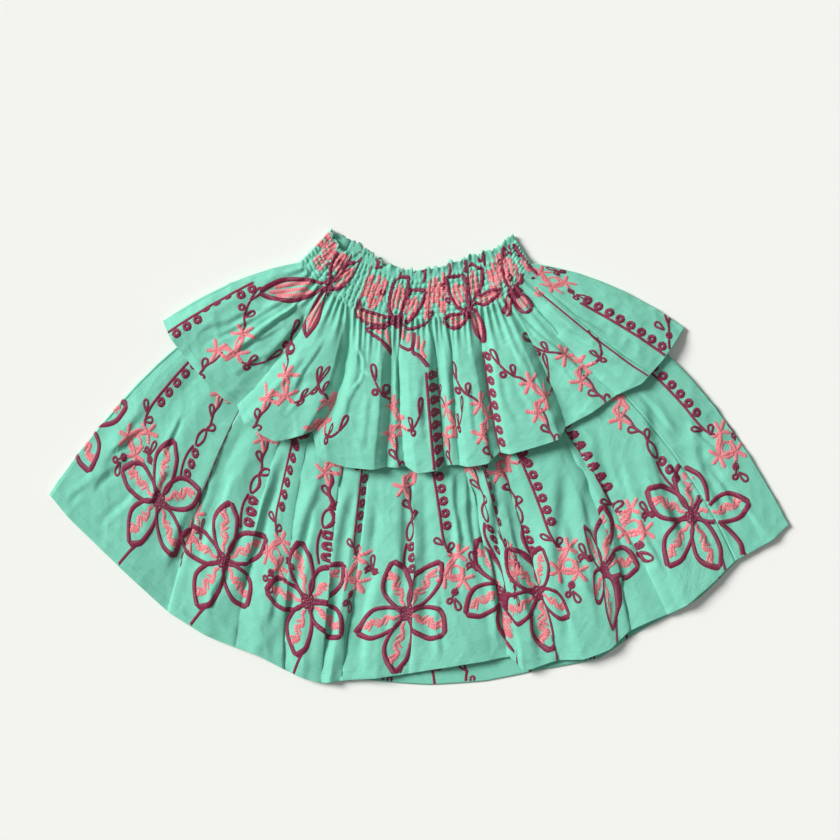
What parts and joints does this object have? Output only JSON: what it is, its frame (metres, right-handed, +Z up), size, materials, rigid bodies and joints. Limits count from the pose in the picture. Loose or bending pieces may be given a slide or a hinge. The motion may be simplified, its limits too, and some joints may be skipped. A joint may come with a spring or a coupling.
{
  "type": "pollera skirt",
  "caption": "Two-tier gathered folk skirt of embroidered cotton with a shirred elastic waist and a ruffled heading, laid flat on its back with its folds fanned out.",
  "frame": {"origin": "middle of the laid skirt's bounding box, on the surface it rests on", "axes": "+X across the hem to the right as seen from above, +Y from the hem towards the waist, +Z up out of the surface"},
  "size_m": [0.8183, 0.5054, 0.0258],
  "materials": {
    "upper_cotton": "matt turquoise cotton with satin-stitch embroidery",
    "lower_cotton": "matt turquoise cotton with satin-stitch embroidery"
  },
  "bodies": {
    "root": {"upper_tier_front": "upper_cotton", "upper_tier_back": "upper_cotton", "lower_tier_front": "lower_cotton", "lower_tier_back": "lower_cotton"}
  },
  "joints": []
}
